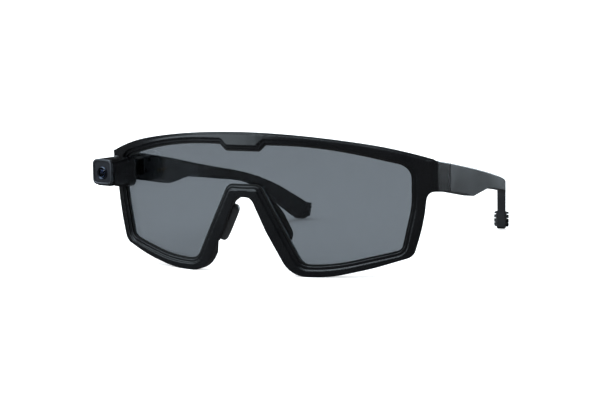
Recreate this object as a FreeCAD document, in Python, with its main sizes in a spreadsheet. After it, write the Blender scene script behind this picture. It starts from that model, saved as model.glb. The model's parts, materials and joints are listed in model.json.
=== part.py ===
"""Smart glasses: a shield lens in a wrap-around front, two folding temples and a small camera pod.

Millimetres, +Z up. The front faces -Y and the wearer's left side is +X, so the temples run along +Y.
The origin is the middle of the nose bridge's underside, halfway through the frame's thickness.
"""
import FreeCAD, Part
import Sketcher

import math
import os

Vector = FreeCAD.Vector
Placement = FreeCAD.Placement
Rotation = FreeCAD.Rotation

X_AXIS = Vector(1, 0, 0)
Y_AXIS = Vector(0, 1, 0)
Z_AXIS = Vector(0, 0, 1)

DRIVING = [
    ("front_radius", 129.0, "plan radius of the front surface"),
    ("front_tilt", 2.3, "lean of the front surface, in degrees, top forward"),
    ("front_crown", 2.2, "distance from the origin forward to the front surface"),
    ("frame_depth", 5.0, "thickness of the rim, front to back"),
    ("half_width", 72.3, "centre plane to the outer face of a temple"),
    ("temple_thickness", 4.7, "thickness of an end piece and of a temple's front part"),
    ("arm_thickness", 3.7, "thickness of a temple behind the ear bend"),
    ("seam_y", 33.2, "where the temple meets the end piece"),
    ("seam_gap", 0.15, "gap between the end piece and the temple"),
    ("corner_radius", 3.5, "rounding between the front and the sides"),
    ("lip_depth", 1.6, "front surface back to the lens groove"),
    ("gasket_thickness", 0.5, "lens gasket, front to back"),
    ("gasket_reach", 0.7, "how far the gasket shows inside the window"),
    ("lens_thickness", 1.8, "shield lens"),
    ("groove_depth", 1.4, "how far the lens groove is cut into the rim"),
    ("lens_lap", 1.2, "how far the lens reaches into the groove"),
    ("ledge_width", 1.5, "step around the window, seen from ahead"),
    ("ledge_depth", 0.9, "step around the window, front to back"),
    ("brow_chamfer", 1.2, "chamfer along the front's upper edge"),
    ("hinge_offset", 66.6, "centre plane to a hinge axis"),
    ("hinge_low", 2.9, "lowest point of a hinge"),
    ("hinge_height", 7.0, "hinge, bottom to top"),
    ("knuckle_radius", 1.5, "outside of a hinge knuckle"),
    ("knuckle_gap", 0.06, "play between two knuckles"),
    ("pin_radius", 0.7, "hinge pin"),
    ("pin_play", 0.04, "radial play of the hinge pin in the temple's knuckles"),
    ("leaf_thickness", 1.0, "hinge leaf"),
    ("leaf_length", 9.5, "hinge leaf, from the axis"),
    ("screw_radius", 0.5, "shank of a leaf screw"),
    ("screw_head", 0.9, "head radius of a leaf screw"),
    ("pod_width", 10.2, "camera pod, across"),
    ("pod_height", 10.3, "front of the camera pod, bottom to top"),
    ("pod_corner", 2.2, "corner radius of the pod's front"),
    ("pod_wall", 0.9, "wall of the pod's housing"),
    ("bezel_depth", 1.4, "bezel, front to back"),
    ("housing_depth", 9.1, "pod housing, front to back"),
    ("pod_yaw", 10.0, "outward turn of the pod, in degrees"),
    ("ring_radius", 2.6, "outside of the lens ring"),
    ("barrel_radius", 2.0, "outside of the lens barrel"),
    ("glass_radius", 1.9, "camera cover glass"),
    ("button_radius", 1.05, "record button"),
    ("button_travel", 0.4, "record button travel"),
    ("cover_thickness", 0.8, "inner cover of the powered temple"),
    ("board_thickness", 0.8, "circuit boards"),
    ("battery_thickness", 2.4, "battery cell"),
    ("grip_length", 4.6, "ribbed grip on a temple's tip"),
    ("grip_thickness", 4.7, "grip between its ribs"),
    ("rib_thickness", 6.6, "grip across its ribs"),
    ("rib_width", 1.35, "one rib, edge to edge"),
    ("rib_pitch", 1.75, "rib spacing"),
    ("rib_count", 4, "ribs on each grip"),
]

doc = FreeCAD.newDocument("smart_glasses")
sheet = doc.addObject("Spreadsheet::Sheet", "Sizes")
for row, (alias, amount, meaning) in enumerate(DRIVING, 1):
    sheet.set("A%d" % row, meaning)
    sheet.set("B%d" % row, str(amount))
    sheet.setAlias("B%d" % row, alias)
doc.recompute()

NODES = []


def size(alias):
    return float(sheet.get(alias))


def node(name, feature):
    """Make a feature one of the object's separate pieces."""
    feature.Label = name
    NODES.append(feature)
    return feature


# ---- outlines: corners with radii, joined by straight runs ----

def rounded_edges(corners, place):
    """Edges of a closed outline; each corner is (a, b, radius), and place turns (a, b) into a point."""
    starts, arcs = [], []
    count = len(corners)
    for index in range(count):
        a, b, radius = corners[index]
        here = Vector(a, b, 0)
        back = Vector(corners[index - 1][0], corners[index - 1][1], 0) - here
        ahead = Vector(corners[(index + 1) % count][0], corners[(index + 1) % count][1], 0) - here
        back.normalize()
        ahead.normalize()
        half = back.getAngle(ahead) / 2
        if radius == 0 or math.pi / 2 - half < 1e-6:
            starts.append((here, here))
            arcs.append(None)
            continue
        reach = radius / math.tan(half)
        inward = back + ahead
        inward.normalize()
        middle = here + inward * (radius / math.sin(half) - radius)
        starts.append((here + back * reach, here + ahead * reach))
        arcs.append(middle)
    edges = []
    for index in range(count):
        first, last = starts[index]
        room = Vector(*corners[(index + 1) % count][:2], 0) - Vector(*corners[index][:2], 0)
        if (starts[(index + 1) % count][0] - last).dot(room) < -1e-6:
            raise ValueError("the radii at corners %d and %d overlap" % (index, (index + 1) % count))
        if arcs[index] is not None:
            edges.append(Part.Arc(place(first), place(arcs[index]), place(last)).toShape())
        following = starts[(index + 1) % count][0]
        if (following - last).Length > 1e-4:
            edges.append(Part.LineSegment(place(last), place(following)).toShape())
    return edges


def front_view(point):
    return Vector(point.x, OUTLINE_Y, point.y)


def side_view(point):
    return Vector(0, point.x, point.y)


def plan_view(point):
    return Vector(point.x, point.y, -60.0)


def outline(name, corners, place):
    face = doc.addObject("Part::Feature", name)
    face.Shape = Part.Face(Part.Wire(rounded_edges(corners, place)))
    return face


def offset(name, source, distance):
    feature = doc.addObject("Part::Offset2D", name)
    feature.Source = source
    feature.Value = distance
    feature.Join = "Arc"
    return feature


def extrude(name, source, direction, length, before=0.0):
    feature = doc.addObject("Part::Extrusion", name)
    feature.Base = source
    feature.DirMode = "Custom"
    feature.Dir = direction
    feature.LengthFwd = length
    feature.LengthRev = before
    feature.Solid = True
    return feature


def both_sides(right_half):
    """A symmetric outline from its +X half, listed from the top centre to the bottom centre."""
    mirrored = [(-x, z, radius) for x, z, radius in reversed(right_half) if x > 0]
    return right_half + mirrored


# ---- solids and booleans ----

def box(name, corner, spans, frame=Placement(), turn=Rotation()):
    """A block; corner is its lowest corner in the frame, spans are numbers or expressions."""
    feature = doc.addObject("Part::Box", name)
    for side, span in zip(("Length", "Width", "Height"), spans):
        if isinstance(span, str):
            feature.setExpression(side, span)
        else:
            setattr(feature, side, span)
    feature.Placement = frame.multiply(Placement(Vector(*corner), turn))
    return feature


def rod(name, start, direction, radius, length, frame=Placement()):
    feature = doc.addObject("Part::Cylinder", name)
    for side, amount in (("Radius", radius), ("Height", length)):
        if isinstance(amount, str):
            feature.setExpression(side, amount)
        else:
            setattr(feature, side, amount)
    feature.Placement = frame.multiply(Placement(Vector(*start), Rotation(Z_AXIS, direction)))
    return feature


def cut(name, base, tool):
    feature = doc.addObject("Part::Cut", name)
    feature.Base = base
    feature.Tool = tool
    return feature


def common(name, *shapes):
    feature = doc.addObject("Part::MultiCommon", name)
    feature.Shapes = list(shapes)
    return feature


def fuse(name, *shapes):
    feature = doc.addObject("Part::MultiFuse", name)
    feature.Shapes = list(shapes)
    feature.Refine = True
    return feature


def group(name, *solids):
    feature = doc.addObject("Part::Compound", name)
    feature.Links = list(solids)
    return feature


def mirrored(name, source):
    feature = doc.addObject("Part::Mirroring", name)
    feature.Source = source
    feature.Normal = X_AXIS
    return feature


def round_edges(name, base, radius, chosen):
    """Fillet the base's edges that the test picks."""
    doc.recompute()
    feature = doc.addObject("Part::Fillet", name)
    feature.Base = base
    feature.Edges = [(number, radius, radius) for number, edge in enumerate(base.Shape.Edges, 1)
                     if chosen(edge)]
    return feature


def chamfer_edges(name, base, width, chosen):
    """Chamfer the base's edges that the test picks."""
    doc.recompute()
    feature = doc.addObject("Part::Chamfer", name)
    feature.Base = base
    feature.Edges = [(number, width, width) for number, edge in enumerate(base.Shape.Edges, 1)
                     if chosen(edge)]
    return feature


def runs_along(direction):
    def test(edge):
        if edge.Curve.TypeId != "Part::GeomLine":
            return False
        along = edge.Vertexes[-1].Point - edge.Vertexes[0].Point
        return abs(along.normalize().dot(direction)) > 0.9999
    return test


# ---- PartDesign bodies for turned and moulded small parts ----

def body_plane(body, role):
    return [plane for plane in body.Origin.OriginFeatures if plane.Role == role][0]


def new_body(name, frame=Placement()):
    body = doc.addObject("PartDesign::Body", name + "_body")
    body.Placement = frame
    return body


def new_sketch(body, role, name):
    sketch = body.newObject("Sketcher::SketchObject", name)
    sketch.AttachmentSupport = (body_plane(body, role), [""])
    sketch.MapMode = "FlatFace"
    return sketch


def turned(name, profile, frame):
    """A part turned about the frame's Y axis; profile is (radius, along) corners."""
    body = new_body(name, frame)
    sketch = new_sketch(body, "XY_Plane", name + "_profile")
    corners = [Vector(radius, along, 0) for radius, along in profile]
    for index in range(len(corners)):
        sketch.addGeometry(Part.LineSegment(corners[index], corners[(index + 1) % len(corners)]), False)
        sketch.addConstraint(Sketcher.Constraint("Block", index))
    revolution = body.newObject("PartDesign::Revolution", name + "_turned")
    revolution.Profile = sketch
    revolution.ReferenceAxis = (sketch, ["V_Axis"])
    revolution.Angle = 360.0
    return node(name, body)


# ---- the front: outlines seen from ahead, and layers of the curved surface ----

HALF_WIDTH = size("half_width")
INNER_FACE = HALF_WIDTH - size("temple_thickness")
BROW = [(0.0, 28.15, 390.0), (57.0, 19.85, 140.0), (HALF_WIDTH, 14.35, 0), (90.0, 6.2, 0)]
RIM = both_sides([
    (0.0, 60.0, 0), (HALF_WIDTH, 60.0, 0), (HALF_WIDTH, 2.4, 0.0), (69.2, 2.3, 3.3),
    (67.8, -9.5, 60.0), (64.2, -22.4, 5.0), (50.0, -26.8, 90.0), (34.0, -30.4, 50.0), (19.0, -30.4, 11.0),
    (9.4, -13.2, 30.0), (3.4, 0.0, 3.2)])
SIDE_WALL = [(0.0, 60.0, 0), (HALF_WIDTH, 60.0, 0), (HALF_WIDTH, 2.4, 0.0), (69.2, 2.3, 3.3),
             (67.8, -9.5, 60.0), (64.2, -22.4, 5.0), (34.0, -34.0, 0), (0.0, -34.0, 0)]
WINDOW = both_sides([
    (7.1, 18.65, 0.8), (9.7, 21.15, 0.8), (33.6, 20.96, 140.0), (64.2, 12.7, 6.5), (64.0, -3.0, 40.0),
    (60.2, -20.4, 3.5), (35.1, -26.3, 70.0), (22.9, -26.3, 5.5), (6.7, 4.4, 3.0)])
END_PIECE = [(12.0, 14.9, 0), (20.5, 14.35, 0), (40.0, 10.95, 0), (40.0, 0.0, 0), (20.0, 2.4, 0),
             (12.0, 2.4, 0)]
GUSSET = [(15.5, 2.8, 0), (31.0, 1.0, 0), (21.7, 2.1, 6.5), (17.0, -9.5, 0), (15.5, -9.5, 0)]
OUTLINE_Y = -15.0
THROUGH = 60.0
TALL = 100.0
BROW_FALL = 0.14
SIDE_TURN = math.tan(math.radians(31.0))


def surface_y(x, z):
    """How far back the front surface lies at a point seen from ahead."""
    radius = size("front_radius")
    lean = math.tan(math.radians(size("front_tilt")))
    return radius - size("front_crown") - math.sqrt(radius ** 2 - min(x, HALF_WIDTH) ** 2) - lean * z


def front_cylinder(name, depth):
    """The tilted cylinder whose forward side lies the given depth behind the front surface."""
    tilt = math.radians(size("front_tilt"))
    centre = size("front_radius") - size("front_crown")
    base = (0, centre + TALL / 2 * math.sin(tilt), -TALL / 2 * math.cos(tilt))
    lean = Vector(0, -math.sin(tilt), math.cos(tilt))
    return rod(name, base, lean, "Sizes.front_radius - (%s)" % depth, TALL)


def layer(name, outer, inner):
    return cut(name, front_cylinder(name + "_outer", outer), front_cylinder(name + "_inner", inner))


def make_rim():
    """The rim: its side walls stand square to the curved front, and its top falls towards the back."""
    rim_prism = extrude("rim_prism", outline("rim_outline", RIM, front_view), Y_AXIS, THROUGH)
    wall = [(x + SIDE_TURN * (surface_y(x, z) - OUTLINE_Y) if x > 0 else x - 90.0, z, radius)
            for x, z, radius in SIDE_WALL]
    left_wall = extrude("left_wall", outline("wall_outline", wall, front_view),
                        Vector(-SIDE_TURN, 1, 0), THROUGH)
    brow = both_sides([(x, z + BROW_FALL * (surface_y(x, z) - OUTLINE_Y), radius)
                       for x, z, radius in BROW] + [(90.0, -60.0, 0)])
    top = extrude("brow_top", outline("brow_outline", brow, front_view), Vector(0, 1, -BROW_FALL), THROUGH)
    curved = common("curved_rim", rim_prism, top, left_wall, mirrored("right_wall", left_wall),
                    layer("rim_layer", "0", "Sizes.frame_depth"))
    return chamfer_edges("chamfered_rim", curved, size("brow_chamfer"), is_brow_edge)


def is_brow_edge(edge):
    """The long edges where the front surface meets the top."""
    middle = edge.valueAt(sum(edge.ParameterRange) / 2)
    on_front = all(abs(vertex.Y - surface_y(abs(vertex.X), vertex.Z)) < 0.3 for vertex in edge.Vertexes)
    return on_front and middle.z > 12.0 and edge.Length > 5.0


def make_front():
    window_face = outline("window_outline", WINDOW, front_view)
    window_prism = extrude("window_prism", window_face, Y_AXIS, THROUGH)
    curved = make_rim()

    end_face = outline("end_outline", END_PIECE, side_view)
    end_prism = extrude("end_prism", end_face, X_AXIS, HALF_WIDTH, -INNER_FACE)
    end_trimmed = common("end_trimmed", end_prism, front_cylinder("end_front", "0"),
                         box("end_limit", (0, 0, -50), (100, size("seam_y") - size("seam_gap") / 2, 100)))
    gusset_face = outline("gusset_outline", GUSSET, side_view)
    gusset = common("gusset", extrude("gusset_prism", gusset_face, X_AXIS, HALF_WIDTH, -60.0),
                    extrude("gusset_limit", outline("gusset_front", RIM, front_view), Y_AXIS, THROUGH),
                    front_cylinder("gusset_forward", "0"))
    end_trimmed = fuse("end_with_gusset", end_trimmed, gusset)
    end_mirrored = mirrored("end_right", end_trimmed)

    blank = fuse("front_blank", curved, end_trimmed, end_mirrored)
    blank = common("front_corners", blank, make_corner_limit())
    groove = common("lens_groove", extrude("groove_prism",
                    offset("groove_outline", window_face, size("groove_depth")), Y_AXIS, THROUGH),
                    layer("groove_layer", "Sizes.lip_depth",
                          "Sizes.lip_depth + Sizes.gasket_thickness + Sizes.lens_thickness + 0.05"))
    ledge = common("ledge", extrude("ledge_prism",
                   offset("ledge_outline", window_face, size("ledge_width")), Y_AXIS, THROUGH),
                   layer("ledge_layer", "-3", "Sizes.ledge_depth"))
    opened = cut("front_opened", blank, fuse("window_cutters", window_prism, ledge, groove))

    lens_prism = extrude("lens_prism", offset("lens_outline", window_face, size("lens_lap")), Y_AXIS, THROUGH)
    lens_layer = layer("lens_layer", "Sizes.lip_depth + Sizes.gasket_thickness",
                       "Sizes.lip_depth + Sizes.gasket_thickness + Sizes.lens_thickness")
    node("shield_lens", common("shield_lens", lens_prism, lens_layer))

    gasket_ring = cut("gasket_ring", extrude("gasket_outer",
                      offset("gasket_outline", window_face, size("lens_lap")), Y_AXIS, THROUGH),
                      extrude("gasket_inner",
                              offset("gasket_opening", window_face, -size("gasket_reach")), Y_AXIS, THROUGH))
    node("lens_gasket", common("lens_gasket", gasket_ring,
                               layer("gasket_layer", "Sizes.lip_depth",
                                     "Sizes.lip_depth + Sizes.gasket_thickness")))
    return opened, window_face


def make_corner_limit():
    """A prism, leaning with the front, that rounds the corners where the front turns into the sides."""
    radius = size("front_radius")
    side = size("half_width")
    tangent_x = side - 2.3
    drop = math.sqrt(radius ** 2 - tangent_x ** 2)
    tangent_y = radius - size("front_crown") - drop
    slope = tangent_x / drop
    inner_x = side / 2
    right_half = [(side, tangent_y + slope * (side - tangent_x), size("corner_radius")),
                  (inner_x, tangent_y - slope * (tangent_x - inner_x), 0), (inner_x, -30.0, 0)]
    left_half = [(-x, y, corner) for x, y, corner in reversed(right_half)]
    tilt = math.radians(size("front_tilt"))
    base_shift = TALL / 2 * math.tan(tilt)
    face = outline("corner_plan", right_half + left_half + [(-side, 60.0, 0), (side, 60.0, 0)],
                   lambda point: Vector(point.x, point.y + base_shift, -TALL / 2))
    return extrude("corner_limit", face, Vector(0, -math.sin(tilt), math.cos(tilt)), TALL)


# ---- temples ----

ARM_SIDE = [(32.0, 12.36, 0), (60.0, 7.05, 150.0), (122.3, -6.3, 110.0), (151.2, -24.0, 3.2),
            (148.0, -31.5, 3.2), (117.0, -9.2, 28.0), (74.0, -2.45, 5.0), (58.0, -3.8, 0.6), (32.0, 1.07, 0)]
BEND = Vector(HALF_WIDTH, 93.7, 0)
TIP = Vector(50.05, 152.2, 0)
ARM_PLAN = [(HALF_WIDTH, 32.0, 0), (BEND.x, BEND.y, 105.0), (TIP.x, TIP.y, 1.2), (46.6, 150.9, 1.2),
            (INNER_FACE, 95.7, 98.0), (INNER_FACE, 32.0, 0)]
TIP_SLOPE = math.radians(32.0)
TIP_LEAN = math.atan2(BEND.x - TIP.x, TIP.y - BEND.y)
TIP_RUN = (TIP - BEND).Length
TIP_END = Vector(0, 150.9, -28.1)
LOWEST_RIB = -28.0
GRIP_WALL = 0.25
RIB_WALL = 0.35
CORE_ROUND = 2.2
RIB_ROUND = 2.9
CORE_SETBACK = 1.35
CORE_THICKNESS = 0.9
BESIDE = 90.0


def plan_band(name, thickness, start, end, rounding=0.0):
    """A band along the rear of the temple, seen from above, centred on the arm's middle line."""
    across = Vector(math.cos(TIP_LEAN), math.sin(TIP_LEAN), 0)
    along = Vector(-math.sin(TIP_LEAN), math.cos(TIP_LEAN), 0)
    middle = BEND - across * size("arm_thickness") / 2
    corners = []
    for reach, side, radius in ((start, 0.5, 0), (end, 0.5, rounding), (end, -0.5, rounding),
                                (start, -0.5, 0)):
        corner = middle + along * reach + across * thickness * side
        corners.append((corner.x, corner.y, radius))
    return extrude(name, outline(name + "_plan", corners, plan_view), Z_AXIS, 2 * THROUGH)


def make_arm():
    side_face = outline("arm_side", ARM_SIDE, side_view)
    side_prism = extrude("arm_side_prism", side_face, X_AXIS, BESIDE)
    plan_prism = extrude("arm_plan_prism", outline("arm_plan", ARM_PLAN, plan_view), Z_AXIS, 2 * THROUGH)
    seam = box("arm_limit", (0, size("seam_y") + size("seam_gap") / 2, -60), (100, 150, 120))
    arm = common("arm_blank", side_prism, plan_prism, seam)

    core_face = offset("core_side", side_face, -CORE_SETBACK)
    core = common("core_blank", extrude("core_side_prism", core_face, X_AXIS, BESIDE),
                  plan_band("core_band", CORE_THICKNESS, 6.0, TIP_RUN - 2.6))
    return arm, side_face, core


def make_grip(side_face, arm):
    """The rubber cap on the temple's tip: cut square to the arm, with level ribs round its sides and end."""
    turn = Rotation(X_AXIS, -math.degrees(TIP_SLOPE))
    reach = 24.0

    def square_cut(name, length):
        corner = TIP_END + turn.multVec(Vector(0, -length, -reach / 2))
        return box(name, corner, (BESIDE, reach, reach), turn=turn)

    length = size("grip_length")
    side_prism = extrude("grip_side_prism", offset("grip_side", side_face, GRIP_WALL), X_AXIS, BESIDE)
    band_start = TIP_RUN - 3 * length
    sleeve = common("grip_sleeve", side_prism, square_cut("sleeve_cut", length),
                    plan_band("grip_band", size("grip_thickness"), band_start, TIP_RUN + 0.4, CORE_ROUND))
    slabs = [box("rib_slab_%d" % index, (0, TIP_END.y - reach, LOWEST_RIB + (index - 0.5) * size("rib_pitch")),
                 (BESIDE, 2 * reach, "Sizes.rib_width"))
             for index in range(int(size("rib_count")))]
    raised = extrude("rib_side_prism", offset("rib_side", side_face, RIB_WALL), X_AXIS, BESIDE)
    ribs = common("grip_ribs", raised, fuse("rib_slabs", *slabs), square_cut("rib_cut", length - 0.5),
                  plan_band("rib_band", size("rib_thickness"), band_start, TIP_RUN + 0.6, RIB_ROUND))
    return cut("grip_blank", fuse("grip_outer", sleeve, ribs), arm)


# ---- hinges ----

def make_hinge():
    """The left hinge: two leaves, a pin and four screws; returns what is cut out for it."""
    axis_x = size("hinge_offset")
    axis_y = size("seam_y")
    low = size("hinge_low")
    tall = size("hinge_height")
    gap = size("knuckle_gap")
    radius = size("knuckle_radius")
    third = tall / 3
    spans = [(low, third - gap / 2), (low + third + gap / 2, third - gap),
             (low + 2 * third + gap / 2, third - gap / 2)]
    relief = rod("hinge_relief", (axis_x, axis_y, low - 0.1), Z_AXIS, "Sizes.knuckle_radius + 0.12",
                 "Sizes.hinge_height + 0.7")

    leaves = {}
    for name, own, others, direction in (("front", [1], [0, 2], -1), ("temple", [0, 2], [1], 1)):
        reach = size("leaf_length")
        start_y = axis_y - reach if direction < 0 else axis_y
        plate = box(name + "_plate", (axis_x, start_y, low),
                    ("Sizes.leaf_thickness", "Sizes.leaf_length", "Sizes.hinge_height"))
        knuckles = [rod("%s_knuckle_%d" % (name, index), (axis_x, axis_y, spans[index][0]), Z_AXIS,
                        "Sizes.knuckle_radius", spans[index][1]) for index in own]
        clear = [rod("%s_clear_%d" % (name, index), (axis_x, axis_y, spans[index][0] - gap), Z_AXIS,
                     radius + 0.12, spans[index][1] + 2 * gap) for index in others]
        hole_radius = "Sizes.pin_radius" if name == "front" else "Sizes.pin_radius + Sizes.pin_play"
        bore = rod(name + "_bore", (axis_x, axis_y, low - 1), Z_AXIS, hole_radius, tall + 2)
        clearance = fuse(name + "_clears", *clear) if len(clear) > 1 else clear[0]
        trimmed = cut(name + "_trimmed", plate, clearance)
        leaves[name] = (fuse(name + "_joined", trimmed, *knuckles), bore)

    screws = {}
    for name, direction in (("front", -1), ("temple", 1)):
        shanks = []
        solids = []
        for distance in (4.2, 7.6):
            place_y = axis_y + direction * distance
            for height in (low + 1.35,) if distance < 5 else (low + tall - 1.35,):
                shank = rod("%s_shank" % name, (axis_x, place_y, height), X_AXIS, "Sizes.screw_radius", 3.4)
                head = rod("%s_head" % name, (axis_x - 0.4, place_y, height), X_AXIS, "Sizes.screw_head", 0.4)
                shanks.append(shank)
                solids.append(fuse("%s_screw" % name, shank, head))
        drilled = fuse(name + "_shanks", *shanks)
        screws[name] = (drilled, group(name + "_screws", *solids))
        leaf, bore = leaves[name]
        leaves[name] = cut(name + "_leaf", leaf, fuse(name + "_drills", bore, drilled))
    pin = fuse("pin_blank", rod("pin_shaft", (axis_x, axis_y, low + 0.02), Z_AXIS, "Sizes.pin_radius",
                                "Sizes.hinge_height"),
               rod("pin_head", (axis_x, axis_y, low + tall), Z_AXIS, 1.15, 0.45))
    return relief, leaves, screws, pin


# ---- nose carrier and pads ----

WING = [(0.5, 2.8, 0.5), (3.2, 1.2, 3.0), (8.4, -8.0, 14.0), (9.2, -21.2, 4.4), (0.6, -21.2, 3.0),
        (0.5, -14.0, 0.5)]
PAD = [(2.3, -4.8, 2.4), (7.0, -5.4, 2.4), (8.4, -20.8, 3.2), (2.1, -20.8, 2.4)]
WING_THICKNESS = 1.3
PAD_THICKNESS = 2.8


def nose_frame():
    """The plane of the left wing's nose side: local X runs back, local Y up, local Z away from the nose."""
    normal = Vector(1.0, -0.5, 0.48).normalize()
    up = Vector(-0.48, 0.0, 1.0).normalize()
    back = up.cross(normal)
    return Placement(Vector(4.0, 2.0, 0.0), Rotation(back, up, normal, "ZYX"))


def moulded(name, corners, start, thickness, frame):
    """A flat moulding in a frame's XY plane, padded along its Z as a PartDesign body."""
    body = new_body(name, frame.multiply(Placement(Vector(0, 0, start), Rotation())))
    sketch = new_sketch(body, "XY_Plane", name + "_profile")
    for index, edge in enumerate(rounded_edges(corners, lambda point: Vector(point.x, point.y, 0))):
        curve = edge.Curve
        first, last = edge.ParameterRange
        if curve.TypeId == "Part::GeomLine":
            sketch.addGeometry(Part.LineSegment(edge.valueAt(first), edge.valueAt(last)), False)
        else:
            sketch.addGeometry(Part.ArcOfCircle(curve, first, last), False)
        sketch.addConstraint(Sketcher.Constraint("Block", index))
    pad = body.newObject("PartDesign::Pad", name + "_pad")
    pad.Profile = sketch
    pad.Length = thickness
    return body


def make_nose():
    frame = nose_frame()
    wing = moulded("wing", WING, 0.0, WING_THICKNESS, frame)
    bar = box("carrier_bar", (-6.2, 0.0, 0.4), (12.4, 5.6, 3.4))
    blank = fuse("carrier_blank", bar, wing, mirrored("wing_right", wing))
    node("nose_carrier", common("nose_carrier", blank,
                                front_cylinder("carrier_front", "Sizes.frame_depth + 0.03")))
    pad = moulded("pad", PAD, -PAD_THICKNESS - 0.02, PAD_THICKNESS, frame)
    rounded = round_edges("nose_pad_left", pad, 0.8, is_pad_rim)
    node("nose_pad_left", rounded)
    node("nose_pad_right", mirrored("nose_pad_right", rounded))


def is_pad_rim(edge):
    """The edges around the face that rests on the nose."""
    frame = nose_frame().inverse()
    heights = [frame.multVec(vertex.Point).z for vertex in edge.Vertexes]
    return max(heights) < -PAD_THICKNESS


# ---- camera pod, in its own frame: X across, Y back from its front face, Z up ----

POD_PLACE = Vector(-65.0, -0.5, 7.45)
LENS_DROP = -0.45
HOUSING_DROP = 0.6
BRACKET_SCREWS = [(-65.95, 1.8), (-65.95, 11.2)]
POD_SCREWS = [(-3.3, -3.9), (3.3, -3.9)]
BUTTON_PLACE = (0.7, 8.1)
BUTTON_STAND = 0.8


def pod_frame():
    return Placement(POD_PLACE, Rotation(Z_AXIS, -size("pod_yaw")))


def rounded_block(name, low, high, radius, frame):
    """A block with its four long edges, the ones that run front to back, rounded."""
    spans = [high[index] - low[index] for index in range(3)]
    return round_edges(name, box(name + "_block", low, spans, frame), radius,
                       runs_along(frame.Rotation.multVec(Y_AXIS)))


def cap_screws(name, places, start, length, head_length, head_start, frame=Placement()):
    """Screws that run back from a start; returns their shanks as a cutter, and the screws as a group."""
    holes, screws = [], []
    for x, z in places:
        holes.append(rod(name + "_hole", (x, start, z), Y_AXIS, "Sizes.screw_radius", length, frame))
        shank = rod(name + "_shank", (x, start, z), Y_AXIS, "Sizes.screw_radius", length, frame)
        head = rod(name + "_head", (x, start + head_start, z), Y_AXIS, "Sizes.screw_head", head_length, frame)
        screws.append(fuse(name + "_screw", shank, head))
    return fuse(name + "_holes", *holes), group(name + "_screws", *screws)


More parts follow.
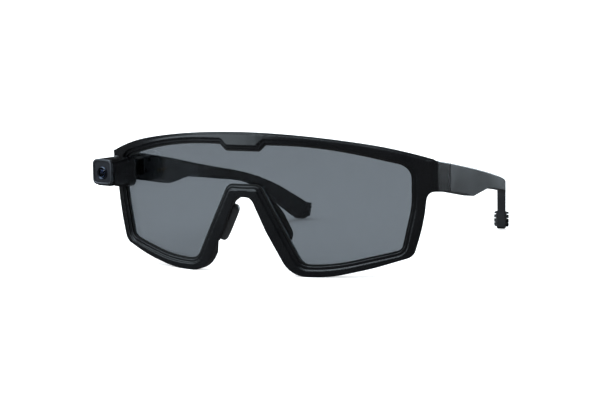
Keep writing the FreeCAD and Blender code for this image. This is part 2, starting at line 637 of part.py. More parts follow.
def make_pod(window_face):
    frame = pod_frame()
    half_w = size("pod_width") / 2
    half_h = size("pod_height") / 2
    wall = size("pod_wall")
    bezel = size("bezel_depth")
    rear = bezel + size("housing_depth")
    corner = size("pod_corner")

    opening_w = half_w - wall
    opening_h = half_h - wall
    outer = rounded_block("bezel_outer", (-half_w, 0, -half_h), (half_w, bezel - 0.2, half_h), corner, frame)
    inner = rounded_block("bezel_inner", (-opening_w, -1, -opening_h), (opening_w, bezel, opening_h),
                          corner - wall, frame)
    node("pod_bezel", cut("pod_bezel", outer, inner))

    lens_frame = frame.multiply(Placement(Vector(0, 0, LENS_DROP), Rotation()))
    plate = rounded_block("plate_block", (-opening_w, 0.25, -opening_h), (opening_w, bezel - 0.2, opening_h),
                          corner - wall, frame)
    ring_hole = rod("ring_hole", (0, -1, 0), Y_AXIS, "Sizes.ring_radius", 5, lens_frame)
    node("face_plate", cut("face_plate", plate, ring_hole))

    seal_outer = rounded_block("seal_outer", (-half_w + 0.3, bezel - 0.2, -half_h + 0.3),
                               (half_w - 0.3, bezel, half_h - 0.3), corner - 0.3, frame)
    seal_inner = box("seal_inner", (-opening_w + 0.1, 0, -opening_h + 0.1),
                     (2 * opening_w - 0.2, 5, 2 * opening_h - 0.2), frame)
    node("pod_gasket", cut("pod_gasket", seal_outer, seal_inner))

    ring = size("ring_radius")
    glass = size("glass_radius")
    barrel = size("barrel_radius")
    turned("lens_ring", [(glass, 0.1), (ring - 0.25, -0.25), (ring, 0.0), (ring, 1.6), (glass, 1.6)],
           lens_frame)
    turned("camera_glass", [(0, 0.3), (glass, 0.3), (glass, 0.8), (0, 0.8)], lens_frame)
    turned("lens_barrel", [(1.3, 1.6), (barrel, 1.6), (barrel, 4.8), (2.8, 4.8), (2.8, 5.2), (1.3, 5.2)],
           lens_frame)
    turned("front_element", [(0, 1.75), (1.3, 2.0), (1.3, 2.5), (0, 2.8)], lens_frame)
    turned("rear_element", [(0, 3.5), (1.3, 3.3), (1.3, 4.1), (0, 3.9)], lens_frame)
    node("image_sensor", box("image_sensor", (-1.8, 5.3, -1.5), (3.6, 0.7, 3.0), lens_frame))
    node("camera_board", box("camera_board", (-3.9, 6.0, -4.5), (7.8, "Sizes.board_thickness", 7.6), frame))

    bottom = -half_h - HOUSING_DROP
    shell = rounded_block("housing_outer", (-half_w, bezel, bottom), (half_w, rear, half_h), corner, frame)
    cavity = box("housing_cavity", (-opening_w, bezel - 1, bottom + wall),
                 (2 * opening_w, rear - bezel + 1 - wall, half_h - bottom - 2 * wall), frame)
    shell = cut("housing_shell", shell, cavity)

    button_frame = frame.multiply(Placement(Vector(*BUTTON_PLACE, 0), Rotation(Y_AXIS, Z_AXIS)))
    button_hole = rod("button_hole", (0, 2, 0), Y_AXIS, "Sizes.button_radius + 0.08", 6, button_frame)
    radius = size("button_radius")
    top = half_h + BUTTON_STAND
    under = half_h - wall - 0.05
    turned("record_button", [(0, under - 0.5), (radius + 0.4, under - 0.5), (radius + 0.4, under),
                             (radius, under), (radius, top - 0.35), (radius - 0.35, top), (0, top)],
           button_frame)
    switch_top = under - 0.5 - size("button_travel") - 0.05
    switch_corner = (BUTTON_PLACE[0] - 1.4, BUTTON_PLACE[1] - 1.2, switch_top - 1.6)
    node("button_switch", box("button_switch", switch_corner, (2.8, 2.4, 1.6), frame))

    pod_shanks, pod_screws = cap_screws("pod", POD_SCREWS, rear - wall, 4.0, 0.5, -0.5, frame)
    node("pod_screws", pod_screws)

    wire, wire_path = make_harness(frame)
    node("camera_harness", wire)
    tools = fuse("housing_tools", button_hole, pod_shanks, wire_path)
    node("pod_housing", cut("pod_housing", shell, tools))

    block = rounded_block("bracket_outer", (-half_w, rear, -half_h - 1.9), (half_w, rear + 12, half_h - 0.3),
                          3.0, frame)
    saddle = cut("bracket_saddle", block, front_cylinder("bracket_fit", "-0.02"))
    foot_outline = extrude("foot_prism", offset("foot_outline", window_face, -0.85), Y_AXIS, THROUGH)
    foot = common("bracket_foot", block, foot_outline,
                  layer("foot_layer", "-1.0", "Sizes.lip_depth + Sizes.gasket_thickness - 0.08"))
    bracket_shanks, bracket_screws = cap_screws("bracket", BRACKET_SCREWS, 11.0, 10.6, 0.7, 10.3)
    sinks = [rod("bracket_sink", (x, 21.3, z), Y_AXIS, "Sizes.screw_head", 3.0) for x, z in BRACKET_SCREWS]
    screw_tools = fuse("bracket_screw_tools", bracket_shanks, *sinks)
    node("clip_bracket", cut("clip_bracket", fuse("bracket_blank", saddle, foot),
                             fuse("bracket_tools", screw_tools, pod_shanks, wire_path)))
    node("bracket_screws", bracket_screws)
    return fuse("front_tools", screw_tools, wire_path)


HARNESS = [Vector(-66.0, 7.0, 5.95), Vector(-66.4, 16.2, 5.95), Vector(-69.9, 22.6, 5.95),
           Vector(-69.9, 29.7, 5.95)]


def run_of_wire(points, radius):
    """Straight runs of round wire with a ball at each bend."""
    shape = None
    for first, last in zip(points, points[1:]):
        run = Part.makeCylinder(radius, (last - first).Length, first, last - first)
        shape = run if shape is None else shape.fuse(run)
    for bend in points[1:-1]:
        shape = shape.fuse(Part.makeSphere(radius, bend))
    return shape.removeSplitter()


def make_harness(frame):
    wire = doc.addObject("Part::Feature", "camera_harness")
    wire.Shape = run_of_wire(HARNESS, 0.45)
    path = doc.addObject("Part::Feature", "harness_path")
    lead_in = HARNESS[0] - Vector(0, 1, 0)
    path.Shape = run_of_wire([lead_in] + HARNESS[1:], 0.6)
    return wire, path


# ---- contacts across the right seam, and the powered temple's contents (made at +X and mirrored) ----

CONTACT_X = 70.2
CONTACT_HEIGHTS = [3.8, 5.4, 7.0, 8.6]
CHIPS = [(46.7, 0.7, 3.9, 3.9), (51.5, 0.7, 2.7, 2.5), (51.5, 3.7, 2.3, 1.5)]
CHARGE_PLACES = [48.0, 50.2, 52.4, 54.6]
COVER_SCREWS = [(44.8, 4.0), (80.3, -0.3)]


def contacts(name, start, length, radius):
    return [rod("%s_%d" % (name, index), (CONTACT_X, start, height), Y_AXIS, radius, length)
            for index, height in enumerate(CONTACT_HEIGHTS)]


def make_front_contacts():
    """The pin block and its pins; returns what is cut out of the left-hand end piece before mirroring."""
    seam = size("seam_y") - size("seam_gap") / 2
    pocket = box("pin_pocket", (68.85, 29.75, 2.9), (2.7, 5.0, 6.6))
    block = box("pin_block_outer", (68.9, 29.8, 2.95), (2.6, seam - 29.8, 6.5))
    holes = fuse("pin_holes", *contacts("pin_hole", 30.3, 5, 0.35))
    node("pin_block", mirrored("pin_block", cut("pin_block_bored", block, holes)))
    pins = group("pins_left", *contacts("pin", 30.3, seam + 0.05 - 30.3, 0.35))
    node("contact_pins", mirrored("contact_pins", pins))
    return mirrored("pin_pocket_right", pocket)


def make_powered_temple(arm, side_face):
    inner = INNER_FACE
    thick = size("cover_thickness")
    bay = common("bay", extrude("bay_prism", offset("bay_side", side_face, -1.3), X_AXIS, BESIDE),
                 box("bay_limit", (inner - 1, 45.9, -20), (4.6, 32.2, 40)))
    recess = common("recess", extrude("recess_prism", offset("recess_side", side_face, -0.7), X_AXIS, BESIDE),
                    box("recess_limit", (inner - 1, 43.3, -20), (1 + thick, 38.8, 40)))
    cover_prism = extrude("cover_prism", offset("cover_side", side_face, -0.76), X_AXIS, BESIDE)
    cover_blank = common("cover_blank", cover_prism,
                         box("cover_limit", (inner, 43.36, -20), ("Sizes.cover_thickness", 38.68, 40)))
    screw_shanks = fuse("cover_shanks", *[rod("cover_shank", (inner, y, z), X_AXIS, "Sizes.screw_radius", 3.2)
                                          for y, z in COVER_SCREWS])
    screw_sinks = fuse("cover_sinks", *[rod("cover_sink", (inner - 1, y, z), X_AXIS, "Sizes.screw_head", 1.4)
                                        for y, z in COVER_SCREWS])
    screws = [fuse("cover_screw", rod("cover_thread", (inner, y, z), X_AXIS, "Sizes.screw_radius", 3.2),
                   rod("cover_head", (inner, y, z), X_AXIS, "Sizes.screw_head", 0.4))
              for y, z in COVER_SCREWS]
    charge = [rod("charge_%d" % index, (inner - 0.05, y, 3.0), X_AXIS, 0.6, 1.0)
              for index, y in enumerate(CHARGE_PLACES)]
    charge_holes = fuse("charge_holes", *[rod("charge_hole", (inner - 1, y, 3.0), X_AXIS, 0.6, 3)
                                          for y in CHARGE_PLACES])
    pad_holes = fuse("pad_holes", *contacts("pad_hole", 33.0, 1.0, 0.55))
    lead_hole = rod("lead_hole", (70.0, 33.9, 6.2), Y_AXIS, 0.5, 13.0)

    arm_tools = fuse("arm_tools", bay, recess, screw_shanks, pad_holes, lead_hole)
    cover_tools = fuse("cover_tools", screw_shanks, screw_sinks, charge_holes)
    seam = size("seam_y") + size("seam_gap") / 2
    pieces = {
        "temple_cover": cut("cover_cut", cover_blank, cover_tools),
        "cover_screws": group("cover_screw_group", *screws),
        "charge_contacts": group("charge_group", *charge),
        "main_board": box("board_blank", (68.6, 46.2, -0.1), ("Sizes.board_thickness", 10.2, 5.6)),
        "board_chips": group("chip_group", *[
            box("chip_%d" % index, (69.4, y, z), (1.0, long, tall))
            for index, (y, z, long, tall) in enumerate(CHIPS)]),
        "battery_cell": round_edges("battery_blank", box("battery_block", (68.7, 57.6, -0.95),
                                    ("Sizes.battery_thickness", 16.0, 3.0)), 0.5, runs_along(Y_AXIS)),
        "contact_pads": group("pad_group", *contacts("pad", seam, 34.0 - seam, 0.55)),
        "temple_lead": rod("lead_blank", (70.0, 34.05, 6.2), Y_AXIS, 0.4, 11.8),
    }
    for name, piece in pieces.items():
        node(name, mirrored(name, piece))
    return cut("powered_arm", arm, arm_tools)


# ---- assembly ----

def assemble():
    opened, window_face = make_front()
    pod_tools = make_pod(window_face)
    make_nose()
    arm, side_face, core = make_arm()
    relief, leaves, screws, pin = make_hinge()
    pocket = make_front_contacts()
    grip = make_grip(side_face, arm)

    node("front_leaf_left", leaves["front"])
    node("front_leaf_right", mirrored("front_leaf_right", leaves["front"]))
    node("hinge_pin_left", pin)
    node("hinge_pin_right", mirrored("hinge_pin_right", pin))
    front_shanks, front_screws = screws["front"]
    node("front_screws_left", front_screws)
    node("front_screws_right", mirrored("front_screws_right", front_screws))

    front_tools = fuse("front_cutters", relief, mirrored("relief_right", relief), front_shanks,
                       mirrored("front_shanks_right", front_shanks), pocket, pod_tools)
    node("front_frame", cut("front_frame", opened, front_tools))

    temple_shanks, temple_screws = screws["temple"]
    hinge_tools = fuse("temple_cutters", relief, temple_shanks, core)
    plain_arm = cut("temple_arm_left", arm, hinge_tools)
    node("temple_arm_left", plain_arm)
    node("temple_core_left", core)
    node("tip_grip_left", grip)
    node("temple_leaf_left", leaves["temple"])
    node("temple_screws_left", temple_screws)
    powered = make_powered_temple(plain_arm, side_face)
    node("temple_arm_right", mirrored("temple_arm_right", powered))
    node("temple_core_right", mirrored("temple_core_right", core))
    node("tip_grip_right", mirrored("tip_grip_right", grip))
    node("temple_leaf_right", mirrored("temple_leaf_right", leaves["temple"]))
    node("temple_screws_right", mirrored("temple_screws_right", temple_screws))


def check_and_export():
    doc.recompute()
    for feature in doc.Objects:
        if "Invalid" in feature.State or "Error" in feature.State:
            raise RuntimeError("%s did not build" % feature.Name)
    os.makedirs("parts", exist_ok=True)
    for feature in NODES:
        shape = feature.Shape
        if shape.isNull() or not shape.isValid() or not shape.Solids:
            raise RuntimeError("%s has no valid solid" % feature.Label)
        shape.exportStep("parts/%s.step" % feature.Label)
        print("%-22s %2d solids %9.2f mm3" % (feature.Label, len(shape.Solids), shape.Volume))


assemble()
check_and_export()
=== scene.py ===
"""The smart glasses' looks: materials, finer meshes, camera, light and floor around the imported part."""

import json
import math

import bmesh
import bpy
from mathutils import Matrix, Vector

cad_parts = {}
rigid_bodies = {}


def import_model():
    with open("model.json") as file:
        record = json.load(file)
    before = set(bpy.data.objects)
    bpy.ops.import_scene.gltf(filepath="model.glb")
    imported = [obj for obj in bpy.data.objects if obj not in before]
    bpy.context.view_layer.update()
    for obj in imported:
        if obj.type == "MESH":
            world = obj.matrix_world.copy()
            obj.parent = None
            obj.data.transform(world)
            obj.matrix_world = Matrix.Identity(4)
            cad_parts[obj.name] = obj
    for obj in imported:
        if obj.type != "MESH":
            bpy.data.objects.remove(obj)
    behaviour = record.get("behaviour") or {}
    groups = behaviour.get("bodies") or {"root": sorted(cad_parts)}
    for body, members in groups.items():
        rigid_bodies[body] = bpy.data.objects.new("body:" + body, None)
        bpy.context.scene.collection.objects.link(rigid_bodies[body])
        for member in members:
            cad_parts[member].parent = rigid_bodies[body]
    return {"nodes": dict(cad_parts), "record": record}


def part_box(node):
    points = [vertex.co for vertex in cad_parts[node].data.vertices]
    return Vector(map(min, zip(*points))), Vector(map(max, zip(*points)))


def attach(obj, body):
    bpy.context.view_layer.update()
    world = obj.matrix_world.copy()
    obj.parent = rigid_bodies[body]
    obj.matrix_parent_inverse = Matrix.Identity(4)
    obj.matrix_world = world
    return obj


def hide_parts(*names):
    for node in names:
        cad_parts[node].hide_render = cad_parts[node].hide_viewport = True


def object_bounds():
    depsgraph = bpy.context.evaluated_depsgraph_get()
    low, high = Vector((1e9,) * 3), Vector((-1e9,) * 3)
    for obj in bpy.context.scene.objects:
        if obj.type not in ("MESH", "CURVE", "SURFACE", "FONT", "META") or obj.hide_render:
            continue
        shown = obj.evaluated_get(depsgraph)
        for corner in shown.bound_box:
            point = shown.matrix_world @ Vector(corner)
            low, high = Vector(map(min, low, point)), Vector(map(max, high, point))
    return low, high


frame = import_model()
cad_box = [list(corner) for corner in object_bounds()]
MM = 0.001
LOWEST = cad_box[0][2]
SLOTS = {part["node"]: part["material_slot"] for part in frame["record"]["subparts"]}


# ---- camera ----

CAMERA_PLACE = Vector((349.297, -643.014, 92.310)) * MM
CAMERA_AZIMUTH = 26.846
CAMERA_ELEVATION = 7.393
CAMERA_ROLL = -1.027
FOCAL_LENGTH = 114.0
SENSOR_WIDTH = 36.0
NEAREST_SEEN = 0.01


def make_camera():
    """A long lens in front of the glasses, a little to the wearer's left and a little above."""
    azimuth = math.radians(CAMERA_AZIMUTH)
    elevation = math.radians(CAMERA_ELEVATION)
    roll = math.radians(CAMERA_ROLL)
    back = Vector((math.sin(azimuth) * math.cos(elevation),
                   -math.cos(azimuth) * math.cos(elevation), math.sin(elevation)))
    right = Vector((math.cos(azimuth), math.sin(azimuth), 0.0))
    up = back.cross(right)
    across = right * math.cos(roll) + up * math.sin(roll)
    upward = up * math.cos(roll) - right * math.sin(roll)
    camera = bpy.data.objects.new("camera", bpy.data.cameras.new("camera"))
    camera.data.lens = FOCAL_LENGTH
    camera.data.sensor_width = SENSOR_WIDTH
    camera.data.clip_start = NEAREST_SEEN
    turn = Matrix((across, upward, back)).transposed().to_4x4()
    camera.matrix_world = Matrix.Translation(CAMERA_PLACE) @ turn
    bpy.context.scene.collection.objects.link(camera)
    bpy.context.scene.camera = camera


make_camera()


# ---- material helpers ----

CLOUD_SCALE = 90.0
SMEAR_SCALE = 45.0
SMEAR_BLUR = 0.025
COAT_ROUGHNESS = 0.15
FINE = 0.000003


def new_material(name):
    """An empty node material and its tree."""
    material = bpy.data.materials.new(name)
    material.use_nodes = True
    material.node_tree.nodes.clear()
    return material, material.node_tree


def noise(tree, scale, detail=2.0, stretch=(1.0, 1.0, 1.0)):
    """A noise in the object's own metres; scale is in cells per metre."""
    place = tree.nodes.new("ShaderNodeTexCoord")
    mapping = tree.nodes.new("ShaderNodeMapping")
    mapping.inputs["Scale"].default_value = stretch
    texture = tree.nodes.new("ShaderNodeTexNoise")
    texture.inputs["Scale"].default_value = scale
    texture.inputs["Detail"].default_value = detail
    tree.links.new(place.outputs["Object"], mapping.inputs["Vector"])
    tree.links.new(mapping.outputs["Vector"], texture.inputs["Vector"])
    return texture.outputs["Fac"]


def remap(tree, source, low, high, start=0.35, end=0.65):
    """Stretch the middle of a noise from start and end to low and high."""
    node = tree.nodes.new("ShaderNodeMapRange")
    node.inputs["From Min"].default_value = start
    node.inputs["From Max"].default_value = end
    node.inputs["To Min"].default_value = low
    node.inputs["To Max"].default_value = high
    tree.links.new(source, node.inputs["Value"])
    return node.outputs["Result"]


def blend_colours(tree, factor, first, second):
    """A colour between two, by a factor from zero to one."""
    mix = tree.nodes.new("ShaderNodeMix")
    mix.data_type = "RGBA"
    mix.inputs["A"].default_value = (*first, 1.0)
    mix.inputs["B"].default_value = (*second, 1.0)
    tree.links.new(factor, mix.inputs["Factor"])
    return mix.outputs["Result"]


def bump(tree, height, depth):
    """A normal that follows a height, for a relief of the given depth in metres."""
    node = tree.nodes.new("ShaderNodeBump")
    node.inputs["Strength"].default_value = 1.0
    node.inputs["Distance"].default_value = depth
    tree.links.new(height, node.inputs["Height"])
    return node.outputs["Normal"]


def finish(tree, shader):
    """Make a shader the material's surface."""
    output = tree.nodes.new("ShaderNodeOutputMaterial")
    tree.links.new(shader, output.inputs["Surface"])


def solid_finish(name, colour, second, roughness, grain_scale, grain_depth, metal=0.0, stretch=(1, 1, 1),
                 coat=0.0, spread=0.06, mirror=0.5):
    """An opaque finish: two close shades, uneven gloss and a grain of its own size and depth in metres.

    spread is how far the roughness varies, and mirror how strongly the bare surface reflects.
    """
    material, tree = new_material(name)
    shader = tree.nodes.new("ShaderNodeBsdfPrincipled")
    shader.inputs["Metallic"].default_value = metal
    shader.inputs["Specular IOR Level"].default_value = mirror
    shader.inputs["Coat Weight"].default_value = coat
    shader.inputs["Coat Roughness"].default_value = COAT_ROUGHNESS
    clouds = noise(tree, CLOUD_SCALE, detail=5.0)
    grain = noise(tree, grain_scale, detail=3.0, stretch=stretch)
    tree.links.new(blend_colours(tree, remap(tree, clouds, 0.0, 1.0), colour, second),
                   shader.inputs["Base Color"])
    tree.links.new(remap(tree, clouds, roughness - spread / 2, roughness + spread / 2),
                   shader.inputs["Roughness"])
    tree.links.new(bump(tree, grain, grain_depth), shader.inputs["Normal"])
    finish(tree, shader.outputs["BSDF"])
    return material


def see_through(name, tint, ior):
    """Tinted clear plastic or glass that also lets lamps through to what is behind it."""
    material, tree = new_material(name)
    glass = tree.nodes.new("ShaderNodeBsdfPrincipled")
    glass.inputs["Base Color"].default_value = (*tint, 1.0)
    glass.inputs["IOR"].default_value = ior
    glass.inputs["Transmission Weight"].default_value = 1.0
    smears = noise(tree, SMEAR_SCALE, detail=4.0)
    tree.links.new(remap(tree, smears, 0.0, SMEAR_BLUR), glass.inputs["Roughness"])
    clear = tree.nodes.new("ShaderNodeBsdfTransparent")
    clear.inputs["Color"].default_value = (*tint, 1.0)
    path = tree.nodes.new("ShaderNodeLightPath")
    mix = tree.nodes.new("ShaderNodeMixShader")
    tree.links.new(path.outputs["Is Shadow Ray"], mix.inputs["Fac"])
    tree.links.new(glass.outputs["BSDF"], mix.inputs[1])
    tree.links.new(clear.outputs["BSDF"], mix.inputs[2])
    finish(tree, mix.outputs["Shader"])
    return material


# One finish for each material slot: its two shades, roughness, grain in cells per metre and grain depth.
MATERIALS = {
    "frame_plastic": solid_finish("satin_black", (0.0025, 0.003, 0.004), (0.0035, 0.004, 0.005), 0.25,
                                  5200.0, FINE / 3, coat=0.15, spread=0.03),
    "temple_plastic": solid_finish("temple_black", (0.010, 0.011, 0.013), (0.015, 0.017, 0.020), 0.34,
                                   5200.0, FINE, coat=0.10),
    "carrier_plastic": solid_finish("carrier_black", (0.004, 0.004, 0.005), (0.007, 0.007, 0.008), 0.34,
                                    5000.0, FINE),
    "cover_plastic": solid_finish("cover_black", (0.010, 0.011, 0.013), (0.014, 0.016, 0.018), 0.40,
                                  4600.0, FINE),
    "pod_plastic": solid_finish("pod_black", (0.0010, 0.0010, 0.0013), (0.0016, 0.0016, 0.002), 0.24,
                                4800.0, FINE, mirror=0.35),
    "block_plastic": solid_finish("block_black", (0.02, 0.02, 0.02), (0.03, 0.03, 0.03), 0.5, 4000.0, FINE),
    "switch_body": solid_finish("switch_grey", (0.05, 0.05, 0.055), (0.07, 0.07, 0.075), 0.5, 4000.0, FINE),
    "grip_rubber": solid_finish("grip_rubber", (0.004, 0.004, 0.005), (0.007, 0.007, 0.008), 0.50,
                                3600.0, 3 * FINE, spread=0.12, mirror=0.25),
    "nose_rubber": solid_finish("nose_rubber", (0.016, 0.017, 0.019), (0.023, 0.024, 0.026), 0.36,
                                3600.0, 2 * FINE, spread=0.10),
    "seal_rubber": solid_finish("seal_rubber", (0.002, 0.002, 0.002), (0.004, 0.004, 0.004), 0.6,
                                3800.0, 3 * FINE),
    "button_rubber": solid_finish("button_rubber", (0.02, 0.02, 0.021), (0.03, 0.03, 0.032), 0.35,
                                  3800.0, 2 * FINE),
    "wire_jacket": solid_finish("wire_jacket", (0.012, 0.012, 0.012), (0.02, 0.02, 0.02), 0.5, 3000.0, FINE),
    "hinge_steel": solid_finish("hinge_steel", (0.030, 0.031, 0.034), (0.045, 0.046, 0.050), 0.34,
                                2600.0, FINE, metal=1.0, stretch=(1, 1, 12)),
    "screw_steel": solid_finish("screw_steel", (0.040, 0.041, 0.044), (0.060, 0.061, 0.065), 0.30,
                                3000.0, FINE, metal=1.0),
    "core_steel": solid_finish("core_steel", (0.45, 0.45, 0.46), (0.55, 0.55, 0.56), 0.3,
                               2400.0, FINE, metal=1.0, stretch=(1, 8, 1)),
    "gold_plate": solid_finish("gold_plate", (0.80, 0.55, 0.20), (0.88, 0.64, 0.28), 0.22,
                               3200.0, FINE, metal=1.0),
    "bezel_metal": solid_finish("bezel_metal", (0.10, 0.105, 0.115), (0.15, 0.155, 0.17), 0.30,
                                3000.0, FINE, metal=1.0),
    "face_plate_finish": solid_finish("face_plate_blue_grey", (0.007, 0.008, 0.012), (0.010, 0.0115, 0.016),
                                      0.42, 3400.0, 2 * FINE, mirror=0.22),
    "ring_metal": solid_finish("ring_metal", (0.050, 0.060, 0.084), (0.068, 0.080, 0.108), 0.34,
                               3000.0, FINE, metal=1.0),
    "barrel_black": solid_finish("barrel_black", (0.004, 0.004, 0.005), (0.007, 0.007, 0.008), 0.55,
                                 2600.0, 2 * FINE),
    "sensor_package": solid_finish("sensor_grey", (0.10, 0.11, 0.13), (0.14, 0.15, 0.17), 0.4, 3000.0, FINE),
    "board_laminate": solid_finish("board_green", (0.012, 0.07, 0.03), (0.02, 0.10, 0.045), 0.35,
                                   2600.0, 2 * FINE, coat=0.4),
    "chip_epoxy": solid_finish("chip_epoxy", (0.02, 0.02, 0.02), (0.03, 0.03, 0.03), 0.55, 4200.0, 2 * FINE),
    "cell_foil": solid_finish("cell_foil", (0.50, 0.51, 0.53), (0.62, 0.63, 0.65), 0.35,
                              1400.0, 6 * FINE, metal=1.0),
    "lens_tint": see_through("smoke_lens", (0.0904, 0.0997, 0.1096), 1.5),
    "camera_glass_clear": see_through("camera_glass", (0.08, 0.12, 0.26), 1.5),
    "lens_glass": see_through("lens_glass", (0.35, 0.40, 0.75), 1.6),
}

for name, part in frame["nodes"].items():
    part.data.materials.clear()
    part.data.materials.append(MATERIALS[SLOTS[name]])


# ---- finer meshes that stand for CAD nodes ----

WELD_DISTANCE = 0.002 * MM
SHARP_ANGLE = math.radians(30)


def body_of(node):
    """The name of the body that a CAD node rides on."""
    return frame["nodes"][node].parent.name.split(":", 1)[1]


def welded_copy(node):
    """A copy of a CAD node's mesh with its doubled vertices joined."""
    mesh = frame["nodes"][node].data.copy()
    work = bmesh.new()
    work.from_mesh(mesh)
    bmesh.ops.remove_doubles(work, verts=work.verts, dist=WELD_DISTANCE)
    work.to_mesh(mesh)
    work.free()
    return mesh


def new_piece(name, mesh, node):
    """A new object at the origin, with the material of the node it is made from."""
    piece = bpy.data.objects.new(name, mesh)
    bpy.context.scene.collection.objects.link(piece)
    mesh.materials.clear()
    mesh.materials.append(MATERIALS[SLOTS[node]])
    return piece


def settle(piece):
    """Turn a piece's modifiers into its mesh."""
    graph = bpy.context.evaluated_depsgraph_get()
    mesh = bpy.data.meshes.new_from_object(piece.evaluated_get(graph))
    old = piece.data
    piece.modifiers.clear()
    piece.data = mesh
    bpy.data.meshes.remove(old)


def reshape(piece, move):
    """Move each vertex of a piece to where the function puts it."""
    for vertex in piece.data.vertices:
        vertex.co = move(vertex.co)
    piece.data.update()


def stand_for(piece, node):
    """Let a piece take a CAD node's place: its body and its space."""
    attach(piece, body_of(node))
    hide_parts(node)


def fit_to_node(piece, node):
    """Stretch a piece a little so that it fills its node's box again after smoothing."""
    low, high = (Vector(corner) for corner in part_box(node))
    points = [vertex.co for vertex in piece.data.vertices]
    own_low = Vector(min(point[axis] for point in points) for axis in range(3))
    own_high = Vector(max(point[axis] for point in points) for axis in range(3))
    for vertex in piece.data.vertices:
        for axis in range(3):
            share = (vertex.co[axis] - own_low[axis]) / (own_high[axis] - own_low[axis])
            vertex.co[axis] = low[axis] + share * (high[axis] - low[axis])


def moulded(node, name, voxel, passes, refit=False):
    """A node as it leaves the mould: the same shape on a fine mesh, with its edges and corners rounded.

    voxel is the mesh's step in millimetres, and passes how many times the mesh is smoothed.
    """
    piece = new_piece(name, welded_copy(node), node)
    remesh = piece.modifiers.new("remesh", "REMESH")
    remesh.mode = "VOXEL"
    remesh.voxel_size = voxel * MM
    cling = piece.modifiers.new("cling", "SHRINKWRAP")
    cling.target = frame["nodes"][node]
    cling.wrap_method = "NEAREST_SURFACEPOINT"
    smooth = piece.modifiers.new("smooth", "SMOOTH")
    smooth.factor = 0.5
    smooth.iterations = passes
    settle(piece)
    for face in piece.data.polygons:
        face.use_smooth = True
    if refit:
        fit_to_node(piece, node)
    stand_for(piece, node)
    return piece


def smoothed(node, name):
    """A node with its round faces shaded smooth, and its edges still sharp."""
    piece = new_piece(name, welded_copy(node), node)
    for face in piece.data.polygons:
        face.use_smooth = True
    piece.data.set_sharp_from_angle(angle=SHARP_ANGLE)
    stand_for(piece, node)
    return piece


# ---- small changes of shape ----

# The front's face is a cylinder whose top leans forward, as in the part's source.
FRONT_RADIUS = 129.0 * MM
FRONT_CROWN = 2.2 * MM
FRONT_TILT = math.tan(math.radians(2.3))

# The top bar leans back above its foot, a line of (distance from the middle, height) in millimetres.
BAR_LEAN = 0.16
BAR_SKIN = 1.2 * MM
BAR_HALF_LENGTH = 71.0 * MM
BAR_FADE = 8.0 * MM
BAR_FOOT = [(0.0, 19.6), (30.0, 19.4), (50.0, 17.0), (66.0, 13.0), (80.0, 8.5)]


def front_surface(point):
    """How far back the front's curved face lies at a point."""
    arc = math.sqrt(FRONT_RADIUS ** 2 - point.x ** 2)
    return FRONT_RADIUS - FRONT_CROWN - arc - FRONT_TILT * point.z


def value_on(line, place):
    """The value of a line of (place, value) points, in millimetres, at a place in metres."""
    for (near, low), (far, high) in zip(line, line[1:]):
        if place <= far * MM:
            return (low + (high - low) * (place - near * MM) / ((far - near) * MM)) * MM
    return line[-1][1] * MM


def lean_bar(point):
    """Lean the top bar's face back, so that it catches the light from above."""
    depth = point.y - front_surface(point)
    rise = point.z - value_on(BAR_FOOT, abs(point.x))
    to_end = BAR_HALF_LENGTH - abs(point.x)
    if rise <= 0 or depth > BAR_SKIN or to_end < 0:
        return point
    share = 1.0 - max(depth, 0.0) / BAR_SKIN
    side_fade = min(1.0, to_end / BAR_FADE)
    return point + Vector((0.0, BAR_LEAN * rise * share * side_fade, 0.0))


# The arch's inner wall and how much of the slope it takes, by the depth below the bridge in millimetres.
ARCH_WALL = [(0.0, 3.4), (13.2, 9.4), (30.4, 19.0)]
ARCH_FADE = [(1.0, 0.0), (4.0, 1.0), (19.0, 1.0), (23.0, 0.0)]
ARCH_REACH = 2.2 * MM
ARCH_SLACK = 0.6 * MM
ARCH_LIP = 0.8 * MM
ARCH_SLOPE = 0.6
ARCH_MOST = 1.7 * MM
ARCH_LIFT = 0.4


def flare_arch(point):
    """Slope the nose arch's inner walls away from the opening behind the front face."""
    below = -point.z
    if not ARCH_FADE[0][0] * MM < below < ARCH_FADE[-1][0] * MM:
        return point
    inside = abs(point.x) - value_on(ARCH_WALL, below)
    depth = point.y - front_surface(point)
    if not -ARCH_SLACK < inside < ARCH_REACH or depth < ARCH_LIP:
        return point
    share = 1.0 - max(inside, 0.0) / ARCH_REACH
    fade = value_on(ARCH_FADE, below) / MM
    slide = min(ARCH_SLOPE * (depth - ARCH_LIP), ARCH_MOST) * share * fade
    return point + Vector((math.copysign(slide, point.x), 0.0, ARCH_LIFT * slide))


# A temple's tip: the way it points, its end, and how far its nose and its underside are rounded.
TIP_SLOPE = math.radians(32)
TIP_END = Vector((0.0, 150.9, -28.1)) * MM
TIP_ALONG = Vector((0.0, math.cos(TIP_SLOPE), -math.sin(TIP_SLOPE)))
TIP_ACROSS = Vector((0.0, math.sin(TIP_SLOPE), math.cos(TIP_SLOPE)))
TIP_NOSE = 3.4 * MM
TIP_MIDDLE_X = 50.0 * MM
TIP_MIDDLE_ACROSS = -0.4 * MM
TIP_LOW = -27.8 * MM
TIP_LOW_REACH = 2.3 * MM
TIP_FROM_Y = 140.0 * MM
TIP_DRAW = 0.62
TIP_NARROWING = 0.75


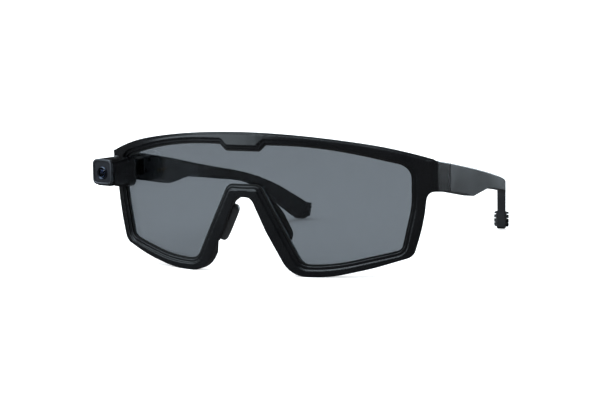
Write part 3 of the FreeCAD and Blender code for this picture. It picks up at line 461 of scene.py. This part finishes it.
def round_tip(point):
    """Draw in a temple tip's end and underside, so that they close in a round nose."""
    if point.y < TIP_FROM_Y:
        return point
    offset = Vector((0.0, point.y, point.z)) - TIP_END
    ending = min(1.0, max(0.0, 1.0 + offset.dot(TIP_ALONG) / TIP_NOSE))
    sinking = min(1.0, max(0.0, (TIP_LOW - point.z) / TIP_LOW_REACH))
    draw = 1.0 - math.sqrt(1.0 - TIP_DRAW * ending ** 2)
    narrowing = 1.0 - math.sqrt(1.0 - TIP_NARROWING * max(ending, sinking) ** 2)
    middle = math.copysign(TIP_MIDDLE_X, point.x)
    across = offset.dot(TIP_ACROSS) - TIP_MIDDLE_ACROSS
    return point - Vector(((point.x - middle) * narrowing, 0.0, 0.0)) - TIP_ACROSS * (across * draw)


# A nose pad's own directions, and the middle and half size of its face along them.
PAD_NORMAL = Vector((1.0, -0.5, 0.48)).normalized()
PAD_UP = Vector((-0.48, 0.0, 1.0)).normalized()
PAD_BACK = PAD_UP.cross(PAD_NORMAL)
PAD_BASE = Vector((4.0, 2.0, 0.0)) * MM
PAD_MIDDLE = (5.0 * MM, -12.9 * MM)
PAD_REACH = (3.7 * MM, 8.3 * MM)
PAD_DROP = 0.94


def crown_pad(side):
    """Give a nose pad a cushion's form: full in the middle, and rolling over to a thin rim."""
    def move(point):
        local = Vector((side * point.x, point.y, point.z)) - PAD_BASE
        across = (local.dot(PAD_BACK) - PAD_MIDDLE[0]) / PAD_REACH[0]
        along = (local.dot(PAD_UP) - PAD_MIDDLE[1]) / PAD_REACH[1]
        edge = min(1.0, across ** 4 + along ** 6)
        height = -local.dot(PAD_NORMAL)
        drop = max(height, 0.0) * (1.0 - math.sqrt(1.0 - PAD_DROP * edge))
        shift = PAD_NORMAL * drop
        return point + Vector((side * shift.x, shift.y, shift.z))
    return move


# ---- the pieces ----

front = moulded("front_frame", "front_moulding", voxel=0.24, passes=5)
reshape(front, lean_bar)
reshape(front, flare_arch)
moulded("nose_carrier", "nose_carrier_moulding", voxel=0.22, passes=5)
for side in ("left", "right"):
    reshape(moulded("temple_arm_" + side, "temple_moulding_" + side, voxel=0.24, passes=4), round_tip)
    reshape(moulded("tip_grip_" + side, "ribbed_tip_" + side, voxel=0.09, passes=2), round_tip)
    pad = moulded("nose_pad_" + side, "soft_nose_pad_" + side, voxel=0.2, passes=6, refit=True)
    reshape(pad, crown_pad(1.0 if side == "left" else -1.0))
for node in ("camera_glass", "front_element", "rear_element", "lens_ring", "lens_barrel"):
    smoothed(node, node + "_turned")
moulded("pod_housing", "pod_shell", voxel=0.16, passes=4)
moulded("pod_bezel", "pod_bezel_rounded", voxel=0.12, passes=3)
moulded("clip_bracket", "clip_bracket_moulding", voxel=0.2, passes=5)
moulded("record_button", "record_button_cap", voxel=0.08, passes=4)


# ---- floor and light ----

def mirrored_only(tree):
    """One for a ray that a surface reflects, and zero for one that comes straight or through a lens."""
    path = tree.nodes.new("ShaderNodeLightPath")
    difference = tree.nodes.new("ShaderNodeMath")
    difference.operation = "SUBTRACT"
    difference.use_clamp = True
    tree.links.new(path.outputs["Is Glossy Ray"], difference.inputs[0])
    tree.links.new(path.outputs["Is Transmission Ray"], difference.inputs[1])
    return difference.outputs["Value"]


FLOOR_REACH = 15.0
PAPER_WHITE = 0.8
PAPER_GLOW = 0.56
PAPER_REFLECTED = 0.05
ROOM_WHITE = 1.0
ROOM_REFLECTED = 0.06
COOL_WHITE = (0.80, 0.92, 1.0)


def paper():
    """Paper that is lit and white to look at, but dark in the object's reflections."""
    material, tree = new_material("paper")
    lit = tree.nodes.new("ShaderNodeBsdfDiffuse")
    lit.inputs["Color"].default_value = (PAPER_WHITE, PAPER_WHITE, PAPER_WHITE, 1.0)
    glow = tree.nodes.new("ShaderNodeEmission")
    glow.inputs["Strength"].default_value = PAPER_GLOW
    both = tree.nodes.new("ShaderNodeAddShader")
    dim = tree.nodes.new("ShaderNodeEmission")
    dim.inputs["Strength"].default_value = PAPER_REFLECTED
    mix = tree.nodes.new("ShaderNodeMixShader")
    tree.links.new(lit.outputs["BSDF"], both.inputs[0])
    tree.links.new(glow.outputs["Emission"], both.inputs[1])
    tree.links.new(mirrored_only(tree), mix.inputs["Fac"])
    tree.links.new(both.outputs["Shader"], mix.inputs[1])
    tree.links.new(dim.outputs["Emission"], mix.inputs[2])
    finish(tree, mix.outputs["Shader"])
    return material


def make_floor():
    """A wide sheet of paper at the height of the object's lowest point."""
    corners = [(-FLOOR_REACH, -FLOOR_REACH, 0), (FLOOR_REACH, -FLOOR_REACH, 0),
               (FLOOR_REACH, FLOOR_REACH, 0), (-FLOOR_REACH, FLOOR_REACH, 0)]
    mesh = bpy.data.meshes.new("floor")
    mesh.from_pydata(corners, [], [(0, 1, 2, 3)])
    mesh.materials.append(paper())
    floor = bpy.data.objects.new("floor", mesh)
    floor.location.z = LOWEST
    bpy.context.scene.collection.objects.link(floor)


def softbox(name, azimuth, elevation, distance, width, height, radiance):
    """A soft panel aimed at the origin; radiance is what a mirror would show of it."""
    azimuth = math.radians(azimuth)
    elevation = math.radians(elevation)
    place = distance * Vector((math.sin(azimuth) * math.cos(elevation),
                               -math.cos(azimuth) * math.cos(elevation), math.sin(elevation)))
    light = bpy.data.lights.new(name, "AREA")
    light.shape = "RECTANGLE"
    light.color = COOL_WHITE
    light.size = width
    light.size_y = height
    light.energy = radiance * math.pi * width * height
    lamp = bpy.data.objects.new(name, light)
    lamp.location = place
    lamp.rotation_euler = (-place).to_track_quat("-Z", "Y").to_euler()
    bpy.context.scene.collection.objects.link(lamp)


def make_world():
    """A white room that is dark in the object's reflections, so that only the panels show in them."""
    world = bpy.data.worlds.new("studio")
    world.use_nodes = True
    tree = world.node_tree
    tree.nodes.clear()
    white = tree.nodes.new("ShaderNodeBackground")
    white.inputs["Strength"].default_value = ROOM_WHITE
    dark = tree.nodes.new("ShaderNodeBackground")
    dark.inputs["Strength"].default_value = ROOM_REFLECTED
    mix = tree.nodes.new("ShaderNodeMixShader")
    output = tree.nodes.new("ShaderNodeOutputWorld")
    tree.links.new(mirrored_only(tree), mix.inputs["Fac"])
    tree.links.new(white.outputs["Background"], mix.inputs[1])
    tree.links.new(dark.outputs["Background"], mix.inputs[2])
    tree.links.new(mix.outputs["Shader"], output.inputs["Surface"])
    bpy.context.scene.world = world


make_world()
make_floor()
softbox("left_panel", azimuth=-47.0, elevation=17.0, distance=1.0,
        width=0.95, height=0.62, radiance=2.2)
softbox("top_panel", azimuth=-60.0, elevation=62.0, distance=1.1,
        width=1.1, height=0.7, radiance=3.6)
softbox("back_panel", azimuth=164.0, elevation=6.0, distance=1.2,
        width=0.55, height=0.9, radiance=7.8)
softbox("overhead_panel", azimuth=15.0, elevation=80.0, distance=1.0,
        width=0.8, height=0.45, radiance=4.5)
bpy.context.scene.view_settings.view_transform = "Standard"
